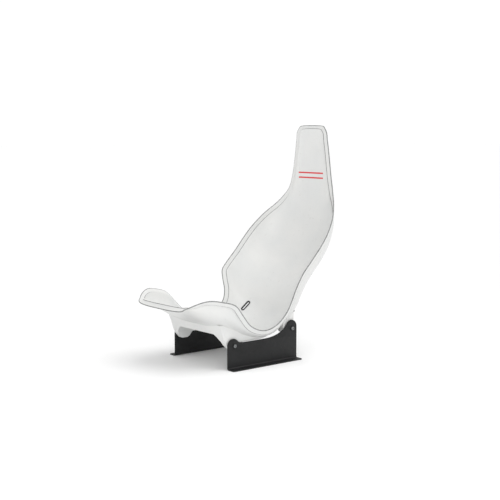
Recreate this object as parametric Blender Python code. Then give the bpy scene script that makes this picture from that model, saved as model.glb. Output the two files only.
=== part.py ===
"""A side-mounted racing seat: one moulded bucket shell bolted between two folded steel brackets.

Sizes are in millimetres and become metres in body(). +Z is up, the seat faces -Y, and X = 0 is the
plane of symmetry. Z = 0 is the underside of the brackets.
"""

import math
from collections import namedtuple

import bmesh
import bpy
import numpy as np

for old in list(bpy.data.objects):
    bpy.data.objects.remove(old)

MM = 0.001
FIT_GAP = 0.3  # clearance between pieces that touch

# Overall sizes of the shell.
SEAT_WIDTH = 468.0  # across the free edges at the elbows
SEAT_DEPTH = 790.0  # front edge to the back panel
SEAT_HEIGHT = 910.0  # bracket underside to the top of the head rest

# Moulding.
WALL = 4.0
RIM_BAND = 21.0  # width of the edge band round the whole opening
RIM_STEP = 2.5  # how far the band stands outside the panel
SHELL_ROWS = 68
SHELL_COLUMNS = 29

# Brackets and their mounting holes.
SHEET = 4.0
BEND_RADIUS = 5.0
BRACKET_FLANGE = 40.0
HOLE_PITCH = 290.0  # front to rear, the usual pitch of side-mounted seats
FRONT_MARGIN = 33.0  # bracket end to the front hole
REAR_MARGIN = 23.0
EAR_RADIUS = 27.0
BASE_HOLE = 9.0
BASE_HOLE_INSET = 40.0

# Fasteners.
BOLT = 8.0
BOLT_LENGTH = 25.0
WASHER_THICKNESS = 1.6
SPACER_THICKNESS = 3.4
INSERT_LENGTH = 18.0

# Lap-belt slots.
SLOT_LENGTH = 46.0
SLOT_WIDTH = 9.0
SLOT_LIP = 3.0  # how far the edging covers the wall round the slot
SLOT_LIP_HEIGHT = 2.4
SLOT_SLEEVE = 1.6

# Sizes that follow from those above. The shell and its feet are drawn at the nominal width, depth and
# height, and stretched to the overall sizes.
NOMINAL = (468.0, 790.0, 910.0)
SPREAD = SEAT_WIDTH / NOMINAL[0]
RISE = SEAT_HEIGHT / NOMINAL[2]
BRACKET_INNER_X = 165 * SPREAD
FRONT_HOLE_HEIGHT = 89 * RISE
REAR_HOLE_HEIGHT = 121 * RISE
WEB_HEIGHT = 98 * RISE  # top of the upright between its two ears
BRACKET_LENGTH = FRONT_MARGIN + HOLE_PITCH + REAR_MARGIN
FRONT_END = -BRACKET_LENGTH / 2
FRONT_HOLE_Y = FRONT_END + FRONT_MARGIN
REAR_HOLE_Y = FRONT_HOLE_Y + HOLE_PITCH
BOLT_CLEARANCE = BOLT + 2 * FIT_GAP
FOOT_FACE_X = BRACKET_INNER_X - SPACER_THICKNESS - 2 * FIT_GAP
WASHER_X = BRACKET_INNER_X + SHEET + FIT_GAP
HEAD_X = WASHER_X + WASHER_THICKNESS + FIT_GAP

# ---------------------------------------------------------------- shell lines
# Each station joins the middle of the seating surface (y, z) to the free edge at the side (x, y, z).
# `lean` is the way the edge band points there, `square` how boxy the section is and `flare` the share of
# the width that its walls gain on the way up.
Station = namedtuple("Station", "name floor edge lean square flare")
STATIONS = (
    Station("front edge", (-354, 251), (144, -359, 249), (0.55, -0.80, -0.15), 3.0, 0.06),
    Station("front corner", (-322, 233), (172, -322, 269), (0.62, -0.20, 0.65), 3.2, 0.06),
    Station("wing, front", (-278, 206), (193, -283, 280), (0.63, 0.00, 0.78), 3.4, 0.06),
    Station("wing, crown", (-222, 174), (211, -228, 273), (0.63, 0.00, 0.78), 3.4, 0.06),
    Station("wing, rear", (-172, 152), (218, -172, 254), (0.65, 0.30, 0.65), 3.4, 0.06),
    Station("thigh drop", (-130, 137), (211, -133, 213), (0.65, 0.46, 0.60), 3.4, 0.06),
    Station("hip, front", (-85, 121), (200, -88, 167), (0.45, 0.40, 0.80), 3.4, 0.06),
    Station("hip, lowest", (-20, 106), (196, -20, 141), (0.40, 0.00, 0.90), 3.2, 0.06),
    Station("hip, rear", (45, 102), (195, 40, 153), (0.35, -0.10, 0.90), 3.2, 0.12),
    Station("hip rise", (108, 102), (194, 92, 194), (0.40, -0.70, 0.50), 2.6, 0.22),
    Station("waist", (168, 115), (204, 108, 236), (0.35, -0.93, 0.00), 2.3, 0.26),
    Station("below the elbow", (210, 148), (222, 113, 283), (0.38, -0.90, 0.10), 2.2, 0.24),
    Station("elbow", (234, 200), (234, 121, 317), (0.46, -0.84, 0.30), 2.2, 0.24),
    Station("above the elbow", (256, 246), (232, 143, 346), (0.40, -0.78, 0.45), 2.3, 0.24),
    Station("lower back", (296, 293), (231, 188, 392), (0.37, -0.70, 0.60), 2.2, 0.24),
    Station("middle back", (345, 344), (232, 232, 440), (0.37, -0.70, 0.60), 2.2, 0.24),
    Station("upper back", (386, 405), (226, 275, 488), (0.37, -0.72, 0.57), 2.2, 0.24),
    Station("shoulder", (407, 465), (204, 322, 540), (0.40, -0.70, 0.58), 2.2, 0.24),
    Station("shoulder, inner", (416, 527), (165, 368, 593), (0.62, -0.42, 0.62), 2.3, 0.18),
    Station("neck", (421, 596), (134, 395, 645), (0.95, -0.05, 0.20), 2.6, 0.08),
    Station("head, base", (420, 692), (118, 402, 700), (0.99, 0.08, 0.05), 2.8, 0.06),
    Station("head, middle", (418, 776), (105, 404, 776), (0.99, 0.10, 0.00), 2.8, 0.06),
    Station("head, upper", (415, 845), (94, 403, 848), (0.98, 0.08, 0.15), 2.8, 0.06),
    Station("head, corner", (409, 882), (86, 402, 888), (0.90, 0.00, 0.40), 2.8, 0.06),
    Station("top edge", (404, 895), (72, 403, 905), (0.70, 0.00, 0.70), 2.8, 0.06),
)
FRONT_BAND = (-0.64, -0.77)  # the way the band droops along the front edge, as (y, z)
TOP_BAND = (0.0, 0.72)  # and the narrower band along the top


def unit(vectors):
    return vectors / np.linalg.norm(vectors, axis=-1, keepdims=True)


def fair(values, knots, at):
    """The values at the knots, read off a smooth curve through them."""
    slopes = np.gradient(values, knots, axis=0)
    k = np.clip(np.searchsorted(knots, at, side="right") - 1, 0, len(knots) - 2)
    span = (knots[k + 1] - knots[k])[:, None]
    t = (at[:, None] - knots[k][:, None]) / span
    rise = values[k + 1] - values[k]
    return (
        values[k]
        + slopes[k] * span * (t - 2 * t**2 + t**3)
        + rise * (3 * t**2 - 2 * t**3)
        + slopes[k + 1] * span * (t**3 - t**2)
    )


def section(half_width, depth, square, flare):
    """Shares of the width and depth across a rounded U, at equal steps along it."""
    angle = np.linspace(-math.pi / 2, math.pi / 2, 361)
    across = np.sign(angle) * np.abs(np.sin(angle)) ** (2 / square)
    up = 1 - np.abs(np.cos(angle)) ** (2 / square)
    across = across * (1 - flare * (1 - up))
    steps = np.hypot(np.diff(across) * half_width, np.diff(up) * depth)
    along = np.concatenate([[0], np.cumsum(steps)])
    at = np.linspace(0, along[-1], SHELL_COLUMNS)
    return np.interp(at, along, across), np.interp(at, along, up)


def shell_lines():
    """The seating surface as a grid of points, and the free edge beyond each point of its border."""
    scale = np.array([SEAT_WIDTH, SEAT_DEPTH, SEAT_HEIGHT]) / NOMINAL
    floor = np.array([(0, *station.floor) for station in STATIONS]) * scale
    edge = np.array([station.edge for station in STATIONS]) * scale
    lean = unit(np.array([station.lean for station in STATIONS]))
    shape = np.array([(station.square, station.flare) for station in STATIONS])
    lengths = np.linalg.norm(np.diff(floor, axis=0), axis=1) + np.linalg.norm(np.diff(edge, axis=0), axis=1)
    knots = np.concatenate([[0], np.cumsum(lengths)])
    at = np.linspace(0, knots[-1], SHELL_ROWS)
    floor = fair(floor, knots, at)
    edge = fair(edge, knots, at)
    rim = edge - RIM_BAND * unit(fair(lean, knots, at))
    shape = fair(shape, knots, at)

    grid = np.empty((SHELL_ROWS, SHELL_COLUMNS, 3))
    ends = {}
    for row in range(SHELL_ROWS):
        rise = rim[row, 1:] - floor[row, 1:]
        across, up = section(rim[row, 0], np.hypot(*rise), *shape[row])
        grid[row, :, 0] = rim[row, 0] * across
        grid[row, :, 1:] = floor[row, 1:] + up[:, None] * rise
        ends[row] = (across, up)

    def cross_edge(row, droop):
        """The free edge along the front or the top, from left to right."""
        across, up = ends[row]
        middle = floor[row, 1:] + RIM_BAND * np.array(droop)
        line = np.empty((SHELL_COLUMNS, 3))
        line[:, 0] = edge[row, 0] * across
        line[:, 1:] = middle + up[:, None] * (edge[row, 1:] - middle)
        return line

    mirror = np.array([-1, 1, 1])
    free = np.concatenate(
        [
            cross_edge(0, FRONT_BAND),
            edge[1:-1],
            cross_edge(SHELL_ROWS - 1, TOP_BAND)[::-1],
            (edge[1:-1] * mirror)[::-1],
        ]
    )
    return grid, free


def border_indices():
    index = np.arange(SHELL_ROWS * SHELL_COLUMNS).reshape(SHELL_ROWS, SHELL_COLUMNS)
    return np.concatenate([index[0], index[1:-1, -1], index[-1][::-1], index[1:-1, 0][::-1]])


GRID, FREE_EDGE = shell_lines()
BORDER = border_indices()


def shell_surface():
    """All points of the moulded surface with its edge band, the way out at each, and its faces."""
    points = GRID.reshape(-1, 3)
    along, across = np.gradient(GRID, axis=(0, 1))
    out = unit(np.cross(along, across)).reshape(-1, 3)
    rim = points[BORDER]
    middle = (rim + FREE_EDGE) / 2
    tangent = np.roll(middle, -1, axis=0) - np.roll(middle, 1, axis=0)
    band = unit(FREE_EDGE - rim)
    band_out = unit(np.cross(unit(tangent), band))
    out[BORDER] = unit(out[BORDER] + band_out)
    step = rim + RIM_STEP * (band + band_out)
    edge = FREE_EDGE + RIM_STEP * band_out
    points = np.concatenate([points, step, edge])
    out = np.concatenate([out, band_out, band_out])

    quads = []
    for row in range(SHELL_ROWS - 1):
        for column in range(SHELL_COLUMNS - 1):
            a = row * SHELL_COLUMNS + column
            quads.append((a, a + SHELL_COLUMNS, a + SHELL_COLUMNS + 1, a + 1))
    first = SHELL_ROWS * SHELL_COLUMNS
    rings = [BORDER, first + np.arange(len(BORDER)), first + len(BORDER) + np.arange(len(BORDER))]
    for inside, outside in zip(rings, rings[1:]):
        quads += zip(inside, np.roll(inside, -1), np.roll(outside, -1), outside)
    faces = []
    for quad in quads:
        faces += halves(quad, points[list(quad), 0].mean() > 0)
    return points, out, faces, rings[-1]


def halves(quad, turned):
    """A four-sided face as two triangles, so that every offset of the surface folds the same way."""
    a, b, c, d = quad
    return [(a, b, c), (a, c, d)] if turned else [(b, c, d), (b, d, a)]


POINTS, OUT, FACES, EDGE_RING = shell_surface()
BACK_Y = (POINTS + WALL * OUT)[:, 1].max()
FRONT_Y = min(POINTS[:, 1].min(), (POINTS + WALL * OUT)[:, 1].min())
SHIFT_Y = -(BACK_Y + FRONT_Y) / 2  # puts the middle of the whole seat at Y = 0


# ---------------------------------------------------------------- making bodies
def body(name, points, faces, smooth=False):
    """A closed mesh object, its faces turned outwards."""
    mesh = bpy.data.meshes.new(name)
    placed = (np.asarray(points, float) + (0, SHIFT_Y, 0)) * MM
    mesh.from_pydata(placed.tolist(), [], [[int(i) for i in face] for face in faces])
    work = bmesh.new()
    work.from_mesh(mesh)
    bmesh.ops.recalc_face_normals(work, faces=work.faces)
    for face in work.faces:
        face.smooth = smooth
    work.to_mesh(mesh)
    work.free()
    item = bpy.data.objects.new(name, mesh)
    bpy.context.scene.collection.objects.link(item)
    return item


def helper(item):
    """Marks an object that only cuts or joins others."""
    item.hide_render = True
    item.display_type = "WIRE"
    return item


def boolean(item, operation, other):
    modifier = item.modifiers.new(other.name, "BOOLEAN")
    modifier.operation = operation
    modifier.solver = "EXACT"
    modifier.object = other


def material(item, name, colour, metallic, roughness):
    made = bpy.data.materials.new(name)
    made.use_nodes = True
    shader = made.node_tree.nodes["Principled BSDF"]
    shader.inputs["Base Color"].default_value = (*colour, 1)
    shader.inputs["Metallic"].default_value = metallic
    shader.inputs["Roughness"].default_value = roughness
    item.data.materials.append(made)


def slab(name, inner, outer):
    """The shell's surface made solid, between two distances outside it."""
    count = len(POINTS)
    points = np.concatenate([POINTS + inner * OUT, POINTS + outer * OUT])
    faces = [tuple(reversed(face)) for face in FACES]
    faces += [tuple(i + count for i in face) for face in FACES]
    for a, b in zip(EDGE_RING, np.roll(EDGE_RING, -1)):
        faces.append((a, b, b + count, a + count))
    return body(name, points, faces, smooth=True)


def bucket_inside(name, outer):
    """The space inside the bucket, grown by `outer` and closed straight across from rim to rim."""
    rows, columns = SHELL_ROWS, SHELL_COLUMNS
    points = (POINTS + outer * OUT)[: rows * columns]
    faces = FACES[: 2 * (rows - 1) * (columns - 1)]
    for row in range(rows - 1):
        left, right = row * columns, row * columns + columns - 1
        faces = faces + [(left, right, right + columns, left + columns)]
    faces = faces + [tuple(range(columns)), tuple(range((rows - 1) * columns, rows * columns))]
    return body(name, points, faces)


def prism(name, outline, place, low, high):
    """A flat outline pushed along a third direction. `place` turns (u, v, w) into (x, y, z)."""
    count = len(outline)
    points = [place(u, v, w) for w in (low, high) for u, v in outline]
    faces = [tuple(range(count)), tuple(range(count, 2 * count))]
    for i in range(count):
        j = (i + 1) % count
        faces.append((i, j, j + count, i + count))
    return body(name, points, faces)


def sideways(side):
    """Outlines drawn in (y, z), pushed away from the middle on that side."""
    return lambda u, v, w: (side * w, u, v)


def arc(centre, radius, start, stop, count):
    angles = np.radians(np.linspace(start, stop, count))
    return [(centre[0] + radius * math.cos(a), centre[1] + radius * math.sin(a)) for a in angles]


def circle(centre, radius, count=32):
    return arc(centre, radius, 0, 360, count + 1)[:-1]


def stadium(length, width, count=10):
    """A slot outline about the origin, its length along v."""
    half = (length - width) / 2
    return arc((0, half), width / 2, 0, 180, count) + arc((0, -half), width / 2, 180, 360, count)


def lathe(name, profile, centre, side, count=28):
    """A profile of (distance from the middle, radius) turned about the bolt's axis."""
    points = []
    faces = []
    closed = [abs(radius) < 1e-9 for _, radius in profile]
    starts = []
    for (x, radius), on_axis in zip(profile, closed):
        starts.append(len(points))
        angles = [0.0] if on_axis else np.arange(count) * 2 * math.pi / count
        for a in angles:
            points.append((side * x, centre[0] + radius * math.cos(a), centre[1] + radius * math.sin(a)))
    pairs = list(zip(range(len(profile)), range(1, len(profile))))
    if not closed[0]:
        pairs.append((len(profile) - 1, 0))
    for a, b in pairs:
        for i in range(count):
            j = (i + 1) % count
            if closed[a]:
                faces.append((starts[a], starts[b] + i, starts[b] + j))
            elif closed[b]:
                faces.append((starts[a] + i, starts[a] + j, starts[b]))
            else:
                faces.append((starts[a] + i, starts[a] + j, starts[b] + j, starts[b] + i))
    item = body(name, points, faces, smooth=True)
    item.data.set_sharp_from_angle(angle=math.radians(35))
    return item


# ---------------------------------------------------------------- shell
MOUNTS = (("front", FRONT_HOLE_Y, FRONT_HOLE_HEIGHT), ("rear", REAR_HOLE_Y, REAR_HOLE_HEIGHT))
SIDES = (("left", 1), ("right", -1))

shell = slab("seat_shell", 0, WALL)
material(shell, "white_gelcoat_on_glass_fibre", (0.84, 0.85, 0.86), 0.0, 0.3)
inside = helper(bucket_inside("bucket_inside", WALL / 2))

# Two moulded feet at the front, joined by a shallow cross rib, and one at each side of the rear.
FRONT_FOOT_SHAPE = (
    (-66, 172),
    (-55, 147),
    (-49, 127),
    (-43, 110),
    (-33, 93),
    (-18, 77),
    (-12, 75),
    (12, 75),
    (22, 81),
    (33, 98),
    (130, 98.6),
    (165, 104),
    (165, 108),
    (110, 110),
    (60, 122),
    (42, 130),
    (-10, 172),
)
FRONT_FOOT_SIDE = [(FRONT_HOLE_Y + y, z * RISE) for y, z in FRONT_FOOT_SHAPE]
ARCH_HALF = ((143, 60), (141, 80), (135, 106), (118, 122), (104, 130))
FRONT_ARCH = [(-x * SPREAD, z * RISE) for x, z in ARCH_HALF]
FRONT_ARCH += [(x * SPREAD, z * RISE) for x, z in ARCH_HALF[::-1]]
REAR_FOOT_SHAPE = (
    (-40, 112),
    (-30, 104),
    (-18, 102),
    (6, 102),
    (14, 106),
    (17, 114),
    (17, 193),
    (-34, 193),
)
REAR_FOOT_SIDE = [(REAR_HOLE_Y + y, z * RISE) for y, z in REAR_FOOT_SHAPE]
REAR_FOOT_INNER_X = 128 * SPREAD

front_feet = helper(prism("front_feet", FRONT_FOOT_SIDE, sideways(1), -FOOT_FACE_X, FOOT_FACE_X))
arch = helper(
    prism("front_arch", FRONT_ARCH, lambda u, v, w: (u, w, v), FRONT_HOLE_Y - 100, FRONT_HOLE_Y + 200)
)
boolean(front_feet, "DIFFERENCE", arch)
boolean(front_feet, "DIFFERENCE", inside)
boolean(shell, "UNION", front_feet)


def slot_frame(side):
    """The belt slot's middle on the wall and its three directions: across, along and outwards."""
    wanted = np.array([152 * SPREAD, REAR_HOLE_Y + 30, REAR_HOLE_HEIGHT + 27 * RISE])
    near = np.argmin(np.linalg.norm(GRID.reshape(-1, 3) - wanted, axis=1))
    mirror = np.array([side, 1, 1])
    out = OUT[near] * mirror
    along = np.array([0.0, 0.81, 0.58])
    along = unit(along - out * (along @ out))
    return POINTS[near] * mirror, np.cross(along, out), along, out


def slot_prism(name, side, grow, inner, outer):
    middle, across, along, out = slot_frame(side)
    outline = stadium(SLOT_LENGTH + 2 * grow, SLOT_WIDTH + 2 * grow)
    return prism(name, outline, lambda u, v, w: middle + u * across + v * along + w * out, inner, outer)


for word, side in SIDES:
    clear = helper(slot_prism(f"slot_clear_{word}", side, SLOT_LIP + 1, -40, 40))
    foot = prism(f"rear_foot_{word}", REAR_FOOT_SIDE, sideways(side), REAR_FOOT_INNER_X, FOOT_FACE_X)
    helper(foot)
    boolean(foot, "DIFFERENCE", inside)
    boolean(foot, "DIFFERENCE", clear)
    boolean(shell, "UNION", foot)
for word, side in SIDES:
    opening = helper(slot_prism(f"slot_opening_{word}", side, 0, -40, 40))
    boolean(shell, "DIFFERENCE", opening)
    for place, y, z in MOUNTS:
        pocket = lathe(
            f"insert_pocket_{place}_{word}",
            [
                (FOOT_FACE_X + 5, 0),
                (FOOT_FACE_X + 5, BOLT + 2 + FIT_GAP),
                (FOOT_FACE_X - 2 - 2 * FIT_GAP, BOLT + 2 + FIT_GAP),
                (FOOT_FACE_X - 2 - 2 * FIT_GAP, BOLT - 1 + FIT_GAP),
                (FOOT_FACE_X - INSERT_LENGTH - 2 * FIT_GAP, BOLT - 1 + FIT_GAP),
                (FOOT_FACE_X - INSERT_LENGTH - 2 * FIT_GAP, 0),
            ],
            (y, z),
            side,
        )
        boolean(shell, "DIFFERENCE", helper(pocket))

# ---------------------------------------------------------------- belt slot edging
lip_outside = helper(slab("lip_outside", -FIT_GAP - SLOT_LIP_HEIGHT, WALL + FIT_GAP + SLOT_LIP_HEIGHT))
for word, side in SIDES:
    wall = helper(slab(f"wall_clearance_{word}", -FIT_GAP, WALL + FIT_GAP))
    boolean(wall, "DIFFERENCE", helper(slot_prism(f"sleeve_space_{word}", side, -FIT_GAP, -40, 40)))
    edging = slot_prism(f"belt_slot_edging_{word}", side, SLOT_LIP, -30, 30)
    boolean(edging, "INTERSECT", lip_outside)
    boolean(edging, "DIFFERENCE", wall)
    boolean(edging, "DIFFERENCE", helper(slot_prism(f"belt_way_{word}", side, -SLOT_SLEEVE, -40, 40)))
    material(edging, f"black_moulded_plastic_{word}", (0.02, 0.02, 0.02), 0.0, 0.45)


# ---------------------------------------------------------------- brackets
def curve_between(start, start_way, end, end_way, count=9):
    """Points of a smooth curve strictly between two points, leaving and arriving along two ways."""
    start, end = np.array(start), np.array(end)
    reach = np.linalg.norm(end - start)
    t = np.linspace(0, 1, count + 2)[1:-1, None]
    points = (
        start * (1 - 3 * t**2 + 2 * t**3)
        + np.array(start_way) * reach * (t - 2 * t**2 + t**3)
        + end * (3 * t**2 - 2 * t**3)
        + np.array(end_way) * reach * (t**3 - t**2)
    )
    return [tuple(point) for point in points]


def bracket_outline():
    """The upright's outline in (y, z), with an ear round each seat bolt."""
    front = (FRONT_END + EAR_RADIUS, FRONT_HOLE_HEIGHT + 1)
    rear = (-FRONT_END - EAR_RADIUS, REAR_HOLE_HEIGHT + 7)
    front_arc = arc(front, EAR_RADIUS, 180, 42, 15)
    rear_arc = arc(rear, EAR_RADIUS, 148, 0, 15)
    web_start = (front[0] + 2.4 * EAR_RADIUS, WEB_HEIGHT)
    web_end = (rear[0] - 5.2 * EAR_RADIUS, WEB_HEIGHT)
    front_way = (math.sin(math.radians(42)), -math.cos(math.radians(42)))
    rear_way = (math.sin(math.radians(148)), -math.cos(math.radians(148)))
    return (
        [(FRONT_END, -10)]
        + front_arc
        + curve_between(front_arc[-1], front_way, web_start, (1, 0))
        + [web_start, web_end]
        + curve_between(web_end, (1, 0), rear_arc[0], rear_way, 13)
        + rear_arc
        + [(-FRONT_END, -10)]
    )


def rounded_plan(x0, x1, y0, y1, radius):
    """A rectangle in (x, y) with its two outboard corners rounded."""
    return (
        [(x0, y0)]
        + arc((x1 - radius, y0 + radius), radius, -90, 0, 8)
        + arc((x1 - radius, y1 - radius), radius, 0, 90, 8)
        + [(x0, y1)]
    )


BRACKET_TOP = REAR_HOLE_HEIGHT + 7 + EAR_RADIUS
FLANGE_EDGE_X = BRACKET_INNER_X + BRACKET_FLANGE
FLANGE_MIDDLE_X = (BRACKET_INNER_X + SHEET + FLANGE_EDGE_X) / 2 + 2
bend = (BRACKET_INNER_X + SHEET + BEND_RADIUS, SHEET + BEND_RADIUS)
FOLDED_SECTION = (
    [(FLANGE_EDGE_X, 0), (FLANGE_EDGE_X, SHEET)]
    + arc(bend, BEND_RADIUS, 270, 180, 7)
    + [(BRACKET_INNER_X + SHEET, BRACKET_TOP + 5), (BRACKET_INNER_X, BRACKET_TOP + 5)]
    + arc(bend, BEND_RADIUS + SHEET, 180, 270, 9)
)
for word, side in SIDES:
    bracket = prism(
        f"side_bracket_{word}",
        FOLDED_SECTION,
        lambda u, v, w, side=side: (side * u, w, v),
        FRONT_END - 5,
        -FRONT_END + 5,
    )
    outline = prism(f"bracket_outline_{word}", bracket_outline(), sideways(side), 100, 300)
    boolean(bracket, "INTERSECT", helper(outline))
    plan = prism(
        f"bracket_plan_{word}",
        rounded_plan(BRACKET_INNER_X - 20, FLANGE_EDGE_X, FRONT_END, -FRONT_END, 8),
        lambda u, v, w, side=side: (side * u, v, w),
        -20,
        BRACKET_TOP + 20,
    )
    boolean(bracket, "INTERSECT", helper(plan))
    for place, y, z in MOUNTS:
        outline = circle((y, z), BOLT_CLEARANCE / 2)
        low, high = BRACKET_INNER_X - 15, BRACKET_INNER_X + 25
        hole = prism(f"bracket_hole_{place}_{word}", outline, sideways(side), low, high)
        boolean(bracket, "DIFFERENCE", helper(hole))
    for place, y in (("front", FRONT_END + BASE_HOLE_INSET), ("rear", -FRONT_END - BASE_HOLE_INSET)):
        hole = prism(
            f"base_hole_{place}_{word}",
            circle((FLANGE_MIDDLE_X, y), BASE_HOLE / 2),
            lambda u, v, w, side=side: (side * u, v, w),
            -10,
            SHEET + 10,
        )
        boolean(bracket, "DIFFERENCE", helper(hole))
    material(bracket, f"black_powder_coated_steel_{word}", (0.03, 0.03, 0.03), 0.3, 0.4)


# ---------------------------------------------------------------- fasteners
def bolt_profile():
    """A button-head bolt, from the middle of its head to its tip."""
    head = 0.875 * BOLT  # head radius
    height = 0.55 * BOLT
    dome = [
        (HEAD_X + 1 + (height - 1) * math.sin(a), 0.45 * head + 0.55 * head * math.cos(a))
        for a in np.radians(np.linspace(90, 0, 7))
    ]
    tip = HEAD_X - BOLT_LENGTH
    shank = BOLT / 2
    return [
        (HEAD_X + height, 0),
        *dome,
        (HEAD_X, head),
        (HEAD_X, shank),
        (tip + 1, shank),
        (tip, shank - 1),
        (tip, 0),
    ]


def ring_profile(low, high, hole, radius, chamfer):
    """A ring between two distances from the middle, its outer edges chamfered."""
    return [
        (low, hole),
        (low, radius - chamfer),
        (low + chamfer, radius),
        (high - chamfer, radius),
        (high, radius - chamfer),
        (high, hole),
    ]


def insert_profile():
    """A threaded insert with a collar, flush with the foot's face."""
    face = FOOT_FACE_X - FIT_GAP
    end = FOOT_FACE_X - INSERT_LENGTH - FIT_GAP
    bore = BOLT / 2 + FIT_GAP
    return [
        (face, bore + 0.6),
        (face, BOLT + 2),
        (face - 2, BOLT + 2),
        (face - 2, BOLT - 1),
        (end, BOLT - 1),
        (end, bore),
        (face - 0.6, bore),
    ]


for word, side in SIDES:
    for place, y, z in MOUNTS:
        where = f"{place}_{word}"
        bolt = lathe(f"seat_bolt_{where}", bolt_profile(), (y, z), side)
        hexagon = circle((y, z), 0.36 * BOLT, 6)
        socket = prism(f"bolt_socket_{where}", hexagon, sideways(side), HEAD_X + 1.8, HEAD_X + 9)
        boolean(bolt, "DIFFERENCE", helper(socket))
        material(bolt, f"zinc_plated_steel_{where}", (0.62, 0.62, 0.60), 1.0, 0.3)
        bore = BOLT_CLEARANCE / 2
        washer = lathe(
            f"bolt_washer_{where}",
            ring_profile(WASHER_X, WASHER_X + WASHER_THICKNESS, bore, BOLT, 0.3),
            (y, z),
            side,
        )
        material(washer, f"zinc_plated_washer_{where}", (0.6, 0.6, 0.58), 1.0, 0.35)
        spacer = lathe(
            f"spacer_washer_{where}",
            ring_profile(FOOT_FACE_X + FIT_GAP, BRACKET_INNER_X - FIT_GAP, bore, 1.5 * BOLT, 0.4),
            (y, z),
            side,
        )
        material(spacer, f"turned_aluminium_{where}", (0.7, 0.71, 0.72), 1.0, 0.35)
        insert = lathe(f"threaded_insert_{where}", insert_profile(), (y, z), side)
        material(insert, f"steel_insert_{where}", (0.5, 0.5, 0.5), 1.0, 0.4)
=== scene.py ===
"""The looks of a side-mounted racing seat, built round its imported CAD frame.

Sizes are in millimetres and become metres where a mesh, a tree or a shader takes them. Every
finished piece stands for the CAD node of the same name, at the same place.
"""

import math
from collections import namedtuple

import bmesh
import bpy
import numpy as np
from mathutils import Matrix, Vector
from mathutils.bvhtree import BVHTree


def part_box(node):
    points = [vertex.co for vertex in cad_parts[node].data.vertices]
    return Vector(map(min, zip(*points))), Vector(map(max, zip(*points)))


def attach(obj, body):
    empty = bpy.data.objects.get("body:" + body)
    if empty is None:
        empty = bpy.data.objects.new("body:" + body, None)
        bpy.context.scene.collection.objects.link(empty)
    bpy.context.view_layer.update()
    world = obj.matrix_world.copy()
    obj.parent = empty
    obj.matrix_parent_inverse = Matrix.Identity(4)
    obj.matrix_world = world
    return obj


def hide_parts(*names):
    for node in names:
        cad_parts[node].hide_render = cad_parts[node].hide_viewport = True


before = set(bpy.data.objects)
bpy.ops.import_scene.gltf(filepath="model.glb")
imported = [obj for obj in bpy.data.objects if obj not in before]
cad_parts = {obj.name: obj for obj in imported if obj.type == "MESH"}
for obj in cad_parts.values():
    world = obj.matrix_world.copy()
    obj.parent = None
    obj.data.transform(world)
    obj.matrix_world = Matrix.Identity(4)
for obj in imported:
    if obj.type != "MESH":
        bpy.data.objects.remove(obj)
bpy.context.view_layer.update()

MM = 0.001
SIDES = (("left", 1), ("right", -1))


# ---------------------------------------------------------------- sizes read from the frame
def cad(node):
    """A CAD node's lowest and highest corners, in millimetres."""
    low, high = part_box(node)
    return np.array(low) / MM, np.array(high) / MM


bracket_low, bracket_high = cad("side_bracket_left")
ORIGIN_Y = (bracket_low[1] + bracket_high[1]) / 2  # the shell is drawn about the brackets' middle
BRACKET_INNER_X, FLANGE_EDGE_X = bracket_low[0], bracket_high[0]
FRONT_END, REAR_END = bracket_low[1], bracket_high[1]
BRACKET_TOP = bracket_high[2]

MOUNTS = []  # the bolts' places, with their middles in y and z
for place in ("front", "rear"):
    low, high = cad(f"seat_bolt_{place}_left")
    MOUNTS.append((place, (low[1] + high[1]) / 2, (low[2] + high[2]) / 2))
BOLT_TIP_X, BOLT_TOP_X = low[0], high[0]
BOLT_HEAD_RADIUS = (high[1] - low[1]) / 2
WASHER_LOW, WASHER_HIGH = cad("bolt_washer_front_left")
SPACER_LOW, SPACER_HIGH = cad("spacer_washer_front_left")
INSERT_LOW, INSERT_HIGH = cad("threaded_insert_front_left")
COLLAR_RADIUS = (INSERT_HIGH[1] - INSERT_LOW[1]) / 2
FIT_GAP = 0.3
FOOT_FACE_X = SPACER_LOW[0] - FIT_GAP

# ---------------------------------------------------------------- sizes of the details
SHEET = 4.0
BEND_RADIUS = 5.0
EAR_RADIUS = 27.0
FRONT_EAR_END = 42.0  # where each ear's arc meets the web's curve, in degrees
REAR_EAR_START = 148.0
WEB_HEIGHT = 98.0
FLANGE_CORNER = 8.0
BASE_HOLE_RADIUS = 4.5
BASE_HOLE_INSET = 40.0
EDGE_BREAK = 0.7  # the deburred edge of the sheet
ACROSS_BRACKET = (100, 300)  # how far a cutter reaches sideways, well past both faces

BOLT_RADIUS = 4.0
BOLT_SHANK = 6.0  # the plain length under the head
SOCKET_RADIUS = 2.88
SOCKET_FLOOR = 1.8  # above the head's underside
THREAD_PITCH = 1.25
THREAD_DEPTH = 0.45
THREAD_RIDGE = 0.42
INSERT_WALL = 3.0
COLLAR_THICKNESS = 2.0
KNURL_RIDGES = 28.0
KNURL_HEIGHT = 0.7

WALL = 4.0
RIM_BAND = 21.0
RIM_STEP = 2.5
SHELL_ROWS = 161
SHELL_COLUMNS = 65
FOOT_ROUNDING = 4.0
REAR_FOOT_INNER_X = 128.0

SLOT_LENGTH = 46.0
SLOT_WIDTH = 9.0
SLOT_WAY = (0.0, 0.81, 0.58)
SLOT_LIP = 3.0
SLOT_LIP_HEIGHT = 2.4
SLOT_SLEEVE = 1.6
THROUGH_WALL = 40.0  # how far a cutter reaches on each side of the wall

LATHE_STEPS = 72
CRISP_ANGLE = 35  # edges that turn by more than this many degrees stay crisp

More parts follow.
